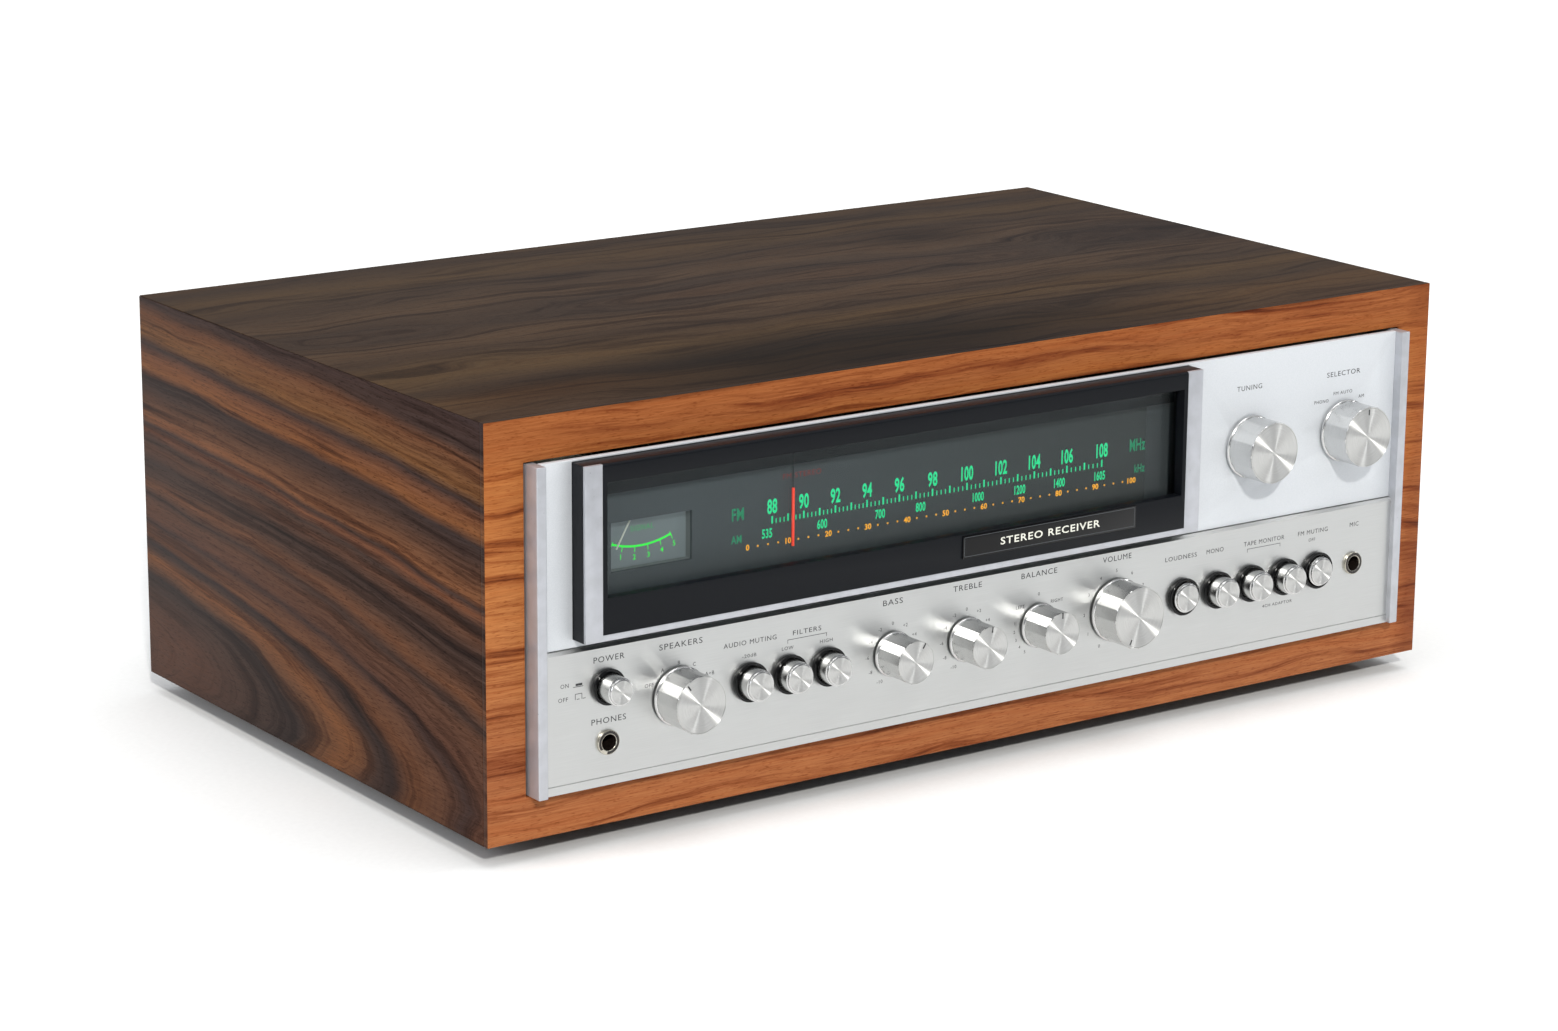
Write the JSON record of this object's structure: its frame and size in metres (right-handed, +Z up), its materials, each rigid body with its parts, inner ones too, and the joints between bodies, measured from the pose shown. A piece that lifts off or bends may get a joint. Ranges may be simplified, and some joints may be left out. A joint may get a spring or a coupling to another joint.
{
  "type": "stereo receiver",
  "caption": "Stereo receiver in a veneered wooden cabinet, with a lit tuning dial, turned aluminium knobs, push buttons and front jacks.",
  "frame": {"origin": "on the floor under the middle of the bounding box", "axes": "+X to the right seen from the front, +Y to the rear, +Z up"},
  "size_m": [0.482, 0.3034, 0.176],
  "materials": {
    "rosewood_veneer": "oiled rosewood veneer",
    "rosewood_lipping": "oiled solid rosewood",
    "rubber": "moulded",
    "zinc_steel": "zinc plated sheet",
    "grey_steel": "grey painted sheet",
    "satin_aluminium": "bead blasted and anodised",
    "brushed_aluminium": "brushed along its length and anodised",
    "trim_aluminium": "anodised extrusion",
    "black_plastic": "satin moulding",
    "dial_glass": "clear",
    "scale_plate": "printed back-lit plate",
    "lamp_glass": "festoon lamps",
    "pointer_red": "fluorescent",
    "needle_white": "painted",
    "cord_fabric": "braided dial cord",
    "pulley_nylon": "moulded",
    "plated_steel": "nickel plated",
    "knob_aluminium": "turned and lacquered",
    "pot_steel": "pressed cans",
    "phenolic": "paper laminate",
    "collar_black": "gloss moulding",
    "switch_plastic": "moulded",
    "nickel": "nickel plated brass",
    "transformer_iron": "varnished laminations",
    "capacitor_can": "sleeved aluminium can",
    "black_anodised": "black anodised extrusion",
    "board_brown": "circuit board",
    "board_green": "circuit board",
    "bakelite": "moulded"
  },
  "bodies": {
    "chassis": {"cabinet_top": "rosewood_veneer", "cabinet_bottom": "rosewood_veneer", "cabinet_left_side": "rosewood_veneer", "cabinet_right_side": "rosewood_veneer", "front_lipping": "rosewood_lipping", "rubber_feet": "rubber", "chassis_bolts": "plated_steel", "chassis_tray": "zinc_steel", "front_subpanel": "zinc_steel", "rear_panel": "grey_steel", "upper_faceplate": "satin_aluminium", "lower_faceplate": "brushed_aluminium", "end_trims": "trim_aluminium", "dial_bezel": "black_plastic", "dial_trim": "trim_aluminium", "dial_glass": "dial_glass", "badge_plate": "black_plastic", "dial_plate": "scale_plate", "dial_lamps": "lamp_glass", "meter_case": "scale_plate", "pointer_rail": "plated_steel", "dial_cord": "cord_fabric", "tuning_capacitor": "zinc_steel", "control_pots": "pot_steel", "rotary_switches": "phenolic", "button_switches": "switch_plastic", "button_collars": "collar_black", "phone_jacks": "nickel", "power_transformer": "transformer_iron", "filter_capacitors": "capacitor_can", "heat_sink": "black_anodised", "amplifier_board": "board_brown", "tuner_board": "board_green", "input_jacks": "bakelite", "screw_terminals": "bakelite", "mains_fittings": "bakelite"},
    "tuning": {"tuning_knob": "knob_aluminium", "tuning_shaft": "plated_steel"},
    "pointer": {"dial_pointer": "pointer_red"},
    "drum": {"dial_drum": "pulley_nylon"},
    "rotor": {"capacitor_rotor": "plated_steel"},
    "left_pulley": {"left_cord_pulley": "pulley_nylon"},
    "right_pulley": {"right_cord_pulley": "pulley_nylon"},
    "needle": {"meter_needle": "needle_white"},
    "antenna": {"ferrite_antenna": "bakelite"},
    "selector": {"selector_knob": "knob_aluminium"},
    "speakers": {"speakers_knob": "knob_aluminium"},
    "bass": {"bass_knob": "knob_aluminium"},
    "treble": {"treble_knob": "knob_aluminium"},
    "balance": {"balance_knob": "knob_aluminium"},
    "volume": {"volume_knob": "knob_aluminium"},
    "power_push": {"power_button": "knob_aluminium"},
    "muting_push": {"muting_button": "knob_aluminium"},
    "low_filter_push": {"low_filter_button": "knob_aluminium"},
    "high_filter_push": {"high_filter_button": "knob_aluminium"},
    "loudness_push": {"loudness_button": "knob_aluminium"},
    "mono_push": {"mono_button": "knob_aluminium"},
    "tape_1_push": {"tape_1_button": "knob_aluminium"},
    "tape_2_push": {"tape_2_button": "knob_aluminium"},
    "fm_muting_push": {"fm_muting_button": "knob_aluminium"}
  },
  "joints": [
    {"name": "tuning_turn", "type": "hinge", "parent": "chassis", "child": "tuning", "pos_m": [0.136, -0.13025, 0.1176], "axis": [0, 1, 0], "range_deg": [-250, 1975]},
    {"name": "selector_turn", "type": "hinge", "parent": "chassis", "child": "selector", "pos_m": [0.1895, -0.13025, 0.1176], "axis": [0, 1, 0], "range_deg": [-60, 60]},
    {"name": "speakers_turn", "type": "hinge", "parent": "chassis", "child": "speakers", "pos_m": [-0.157, -0.13025, 0.0574], "axis": [0, 1, 0], "range_deg": [-33, 99]},
    {"name": "bass_turn", "type": "hinge", "parent": "chassis", "child": "bass", "pos_m": [-0.0534, -0.13025, 0.0574], "axis": [0, 1, 0], "range_deg": [-180, 120]},
    {"name": "treble_turn", "type": "hinge", "parent": "chassis", "child": "treble", "pos_m": [-0.0159, -0.13025, 0.0574], "axis": [0, 1, 0], "range_deg": [-158, 142]},
    {"name": "balance_turn", "type": "hinge", "parent": "chassis", "child": "balance", "pos_m": [0.0216, -0.13025, 0.0574], "axis": [0, 1, 0], "range_deg": [-150, 150]},
    {"name": "volume_turn", "type": "hinge", "parent": "chassis", "child": "volume", "pos_m": [0.063, -0.13025, 0.0574], "axis": [0, 1, 0], "range_deg": [0, 300]},
    {"name": "power_press", "type": "slide", "parent": "chassis", "child": "power_push", "axis": [0, 1, 0], "range_m": [0, 0.0044], "stiffness_N_per_m": 150},
    {"name": "muting_press", "type": "slide", "parent": "chassis", "child": "muting_push", "axis": [0, 1, 0], "range_m": [0, 0.0044], "stiffness_N_per_m": 150},
    {"name": "low_filter_press", "type": "slide", "parent": "chassis", "child": "low_filter_push", "axis": [0, 1, 0], "range_m": [0, 0.0044], "stiffness_N_per_m": 150},
    {"name": "high_filter_press", "type": "slide", "parent": "chassis", "child": "high_filter_push", "axis": [0, 1, 0], "range_m": [0, 0.0044], "stiffness_N_per_m": 150},
    {"name": "loudness_press", "type": "slide", "parent": "chassis", "child": "loudness_push", "axis": [0, 1, 0], "range_m": [-0.0044, 0]},
    {"name": "mono_press", "type": "slide", "parent": "chassis", "child": "mono_push", "axis": [0, 1, 0], "range_m": [0, 0.0044], "stiffness_N_per_m": 150},
    {"name": "tape_1_press", "type": "slide", "parent": "chassis", "child": "tape_1_push", "axis": [0, 1, 0], "range_m": [0, 0.0044], "stiffness_N_per_m": 150},
    {"name": "tape_2_press", "type": "slide", "parent": "chassis", "child": "tape_2_push", "axis": [0, 1, 0], "range_m": [0, 0.0044], "stiffness_N_per_m": 150},
    {"name": "fm_muting_press", "type": "slide", "parent": "chassis", "child": "fm_muting_push", "axis": [0, 1, 0], "range_m": [-0.0044, 0]},
    {"name": "pointer_slide", "type": "slide", "parent": "chassis", "child": "pointer", "axis": [1, 0, 0], "range_m": [-0.0222, 0.1728]},
    {"name": "drum_turn", "type": "hinge", "parent": "chassis", "child": "drum", "pos_m": [0.05995, -0.13025, 0.1136], "axis": [0, 1, 0], "range_deg": [-40, 314]},
    {"name": "rotor_turn", "type": "hinge", "parent": "chassis", "child": "rotor", "pos_m": [0.05995, -0.09025, 0.1136], "axis": [0, 1, 0], "range_deg": [-20, 157]},
    {"name": "left_pulley_turn", "type": "hinge", "parent": "chassis", "child": "left_pulley", "pos_m": [-0.19635, -0.13025, 0.1453], "axis": [0, 1, 0], "range_deg": [-209, 1647]},
    {"name": "right_pulley_turn", "type": "hinge", "parent": "chassis", "child": "right_pulley", "pos_m": [0.10595, -0.13025, 0.1453], "axis": [0, 1, 0], "range_deg": [-209, 1647]},
    {"name": "needle_swing", "type": "hinge", "parent": "chassis", "child": "needle", "pos_m": [-0.1689, -0.12555, 0.13505], "axis": [0, -1, 0], "range_deg": [0, 70], "stiffness_Nm_per_rad": 0.0004},
    {"name": "antenna_swing", "type": "hinge", "parent": "chassis", "child": "antenna", "pos_m": [0.06, 0.14125, 0.1405], "axis": [0, 0, -1], "range_deg": [0, 90]}
  ],
  "couplings": [
    {"joint": "pointer_slide", "follows": "tuning_turn", "m_per_rad": 0.005},
    {"joint": "drum_turn", "follows": "tuning_turn", "ratio": 0.15873},
    {"joint": "rotor_turn", "follows": "tuning_turn", "ratio": 0.079365},
    {"joint": "left_pulley_turn", "follows": "tuning_turn", "ratio": 0.83333},
    {"joint": "right_pulley_turn", "follows": "tuning_turn", "ratio": 0.83333}
  ]
}
